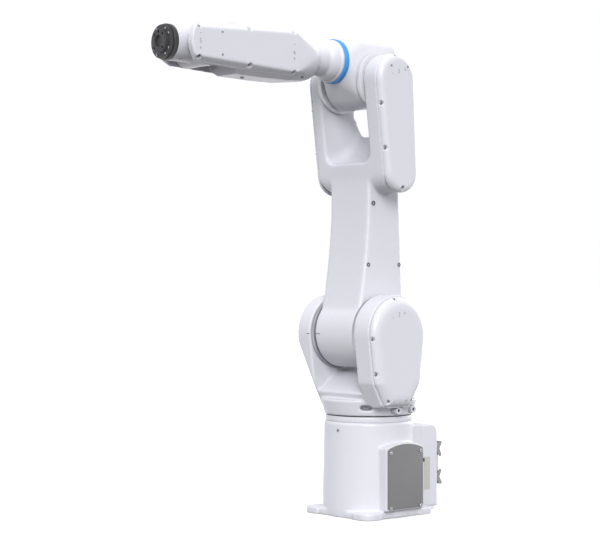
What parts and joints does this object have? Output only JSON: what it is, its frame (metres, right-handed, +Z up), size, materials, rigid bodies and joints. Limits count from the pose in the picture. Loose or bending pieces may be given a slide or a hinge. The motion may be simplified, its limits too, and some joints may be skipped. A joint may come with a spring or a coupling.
{
  "type": "six-axis robot arm",
  "caption": "White six-axis industrial robot arm on a bolted foot, with a forked shoulder and elbow, a tapering forearm, a blue accent ring and a black tool flange",
  "frame": {"origin": "On the first axis, in the underside of the foot plate", "axes": "+Z up along the first axis, +X forward to the tool flange, +Y to the robot's left"},
  "size_m": [0.6395, 0.212, 0.877],
  "materials": {
    "body_white": "satin",
    "machined_steel": "satin",
    "panel_grey": "matte",
    "flange_black": "matte",
    "accent_blue": "gloss",
    "connector_grey": "satin",
    "insert_plastic": "matte"
  },
  "bodies": {
    "base": {"base_casting": "body_white", "bearing_ring": "body_white", "side_panel_left": "panel_grey", "side_panel_right": "panel_grey", "connector_box": "body_white", "connector_plate": "machined_steel", "connector_frame": "connector_grey", "connector_insert": "insert_plastic"},
    "latch_top": {"latch_upper": "connector_grey"},
    "latch_bottom": {"latch_lower": "connector_grey"},
    "turret": {"turret_casting": "body_white", "shoulder_cover_left": "body_white", "shoulder_cover_right": "body_white", "socket_plugs": "body_white"},
    "lower_arm": {"lower_arm_casting": "body_white", "hub_flange_left": "machined_steel", "hub_flange_right": "machined_steel", "elbow_cover_left": "body_white", "elbow_cover_right": "body_white"},
    "elbow": {"elbow_casting": "body_white", "elbow_flange_left": "machined_steel", "elbow_flange_right": "machined_steel", "accent_ring": "accent_blue", "neck": "body_white"},
    "forearm": {"forearm_casting": "body_white", "forearm_collar": "body_white", "forearm_cover_left": "body_white", "forearm_cover_right": "body_white"},
    "wrist": {"wrist_housing": "body_white", "reducer_ring": "flange_black"},
    "tool": {"tool_flange": "flange_black"}
  },
  "joints": [
    {"name": "j1_turn", "type": "hinge", "parent": "base", "child": "turret", "pos_m": [0, 0, 0.185], "axis": [0, 0, 1], "range_deg": [-170, 170]},
    {"name": "j2_shoulder", "type": "hinge", "parent": "turret", "child": "lower_arm", "pos_m": [0.025, 0, 0.335], "axis": [0, 1, 0], "range_deg": [-80, 135]},
    {"name": "j3_elbow", "type": "hinge", "parent": "lower_arm", "child": "elbow", "pos_m": [0.025, 0, 0.795], "axis": [0, -1, 0], "range_deg": [-70, 190]},
    {"name": "j4_roll", "type": "hinge", "parent": "elbow", "child": "forearm", "pos_m": [0.149, 0, 0.83], "axis": [1, 0, 0], "range_deg": [-190, 190]},
    {"name": "j5_bend", "type": "hinge", "parent": "forearm", "child": "wrist", "pos_m": [0.4, 0, 0.83], "axis": [0, 1, 0], "range_deg": [-115, 115]},
    {"name": "j6_tool", "type": "hinge", "parent": "wrist", "child": "tool", "pos_m": [0.4725, 0, 0.83], "axis": [1, 0, 0], "range_deg": [-360, 360]},
    {"name": "latch_top_swing", "type": "hinge", "parent": "base", "child": "latch_top", "pos_m": [-0.1435, 0.017, 0.112], "axis": [0, 1, 0], "range_deg": [0, 40]},
    {"name": "latch_bottom_swing", "type": "hinge", "parent": "base", "child": "latch_bottom", "pos_m": [-0.1435, 0.017, 0.058], "axis": [0, -1, 0], "range_deg": [0, 40]}
  ]
}
